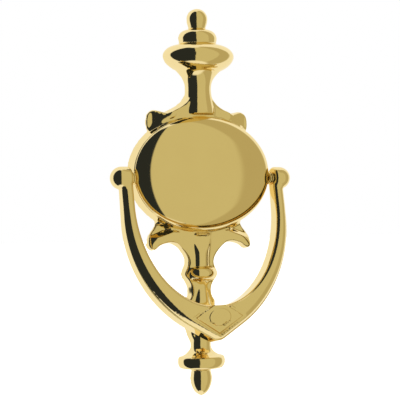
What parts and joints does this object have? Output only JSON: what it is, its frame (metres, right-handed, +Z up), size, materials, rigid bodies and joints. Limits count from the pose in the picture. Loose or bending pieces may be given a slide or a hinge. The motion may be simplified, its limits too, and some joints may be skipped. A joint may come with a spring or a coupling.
{
  "type": "door knocker",
  "caption": "Swinging-bail door knocker: urn-topped cast plate with a domed oval, a pointed bail on ball pivots that strikes a button, fixed from behind through the door.",
  "frame": {"origin": "on the door face, on the centre line, level with the bail's pivots", "axes": "+Z up along the plate, -Y out of the door towards the caller, +Y into the door"},
  "size_m": [0.1034, 0.0274, 0.2027],
  "materials": {
    "polished_brass": "polished and lacquered, mirror bright",
    "turned_brass": "turned, fine rings",
    "zinc_steel": "zinc plated"
  },
  "bodies": {
    "plate": {"back_plate": "polished_brass", "oval_cover": "polished_brass", "strike_stud": "turned_brass", "strike_washer": "zinc_steel", "strike_nut": "zinc_steel", "cover_stud_left": "zinc_steel", "cover_washer_left": "zinc_steel", "cover_nut_left": "zinc_steel", "pivot_spacer_left": "turned_brass", "thrust_washer_left": "zinc_steel", "cover_stud_right": "zinc_steel", "cover_washer_right": "zinc_steel", "cover_nut_right": "zinc_steel", "pivot_spacer_right": "turned_brass", "thrust_washer_right": "zinc_steel"},
    "bail": {"bail": "polished_brass", "hammer_button": "turned_brass", "pivot_screw_left": "zinc_steel", "pivot_screw_right": "zinc_steel"}
  },
  "joints": [
    {"name": "bail_swing", "type": "hinge", "parent": "plate", "child": "bail", "pos_m": [0, -0.0063, 0], "axis": [-1, 0, 0], "range_deg": [0, 140]}
  ]
}
